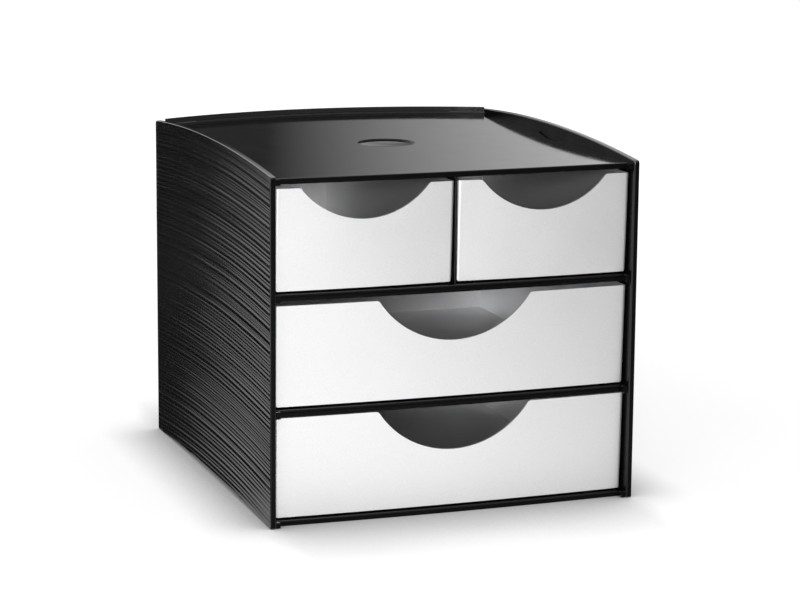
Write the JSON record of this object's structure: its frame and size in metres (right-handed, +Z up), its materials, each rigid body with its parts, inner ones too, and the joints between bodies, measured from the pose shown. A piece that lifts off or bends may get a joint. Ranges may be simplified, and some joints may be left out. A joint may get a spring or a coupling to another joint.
{
  "type": "desktop drawer unit",
  "caption": "Low glossy black desktop case with ribbed, arched side panels, a rimmed flat top and silver tray drawers with curved finger notches.",
  "frame": {"origin": "on the resting surface, below the centre of the whole unit's box", "axes": "+X to the right, +Y to the back (the drawer fronts face -Y and pull out along it), +Z up"},
  "size_m": [0.264, 0.31, 0.2445],
  "materials": {
    "case_gloss": "glossy black moulded plastic",
    "case_ribbed": "black moulded plastic with fine arched ribs, semi-gloss",
    "drawer_silver": "satin metallic silver moulded plastic"
  },
  "bodies": {
    "case": {"left_side_panel": "case_ribbed", "right_side_panel": "case_ribbed", "top_panel": "case_gloss", "upper_shelf": "case_gloss", "lower_shelf": "case_gloss", "base_panel": "case_gloss", "back_panel": "case_gloss", "centre_divider": "case_gloss"},
    "small_left_tray": {"drawer_small_left": "drawer_silver"},
    "small_right_tray": {"drawer_small_right": "drawer_silver"},
    "middle_tray": {"drawer_middle": "drawer_silver"},
    "bottom_tray": {"drawer_bottom": "drawer_silver"}
  },
  "joints": [
    {"name": "small_left_slide", "type": "slide", "parent": "case", "child": "small_left_tray", "axis": [0, -1, 0], "range_m": [0, 0.19]},
    {"name": "small_right_slide", "type": "slide", "parent": "case", "child": "small_right_tray", "axis": [0, -1, 0], "range_m": [0, 0.19]},
    {"name": "middle_slide", "type": "slide", "parent": "case", "child": "middle_tray", "axis": [0, -1, 0], "range_m": [0, 0.19]},
    {"name": "bottom_slide", "type": "slide", "parent": "case", "child": "bottom_tray", "axis": [0, -1, 0], "range_m": [0, 0.19]}
  ]
}
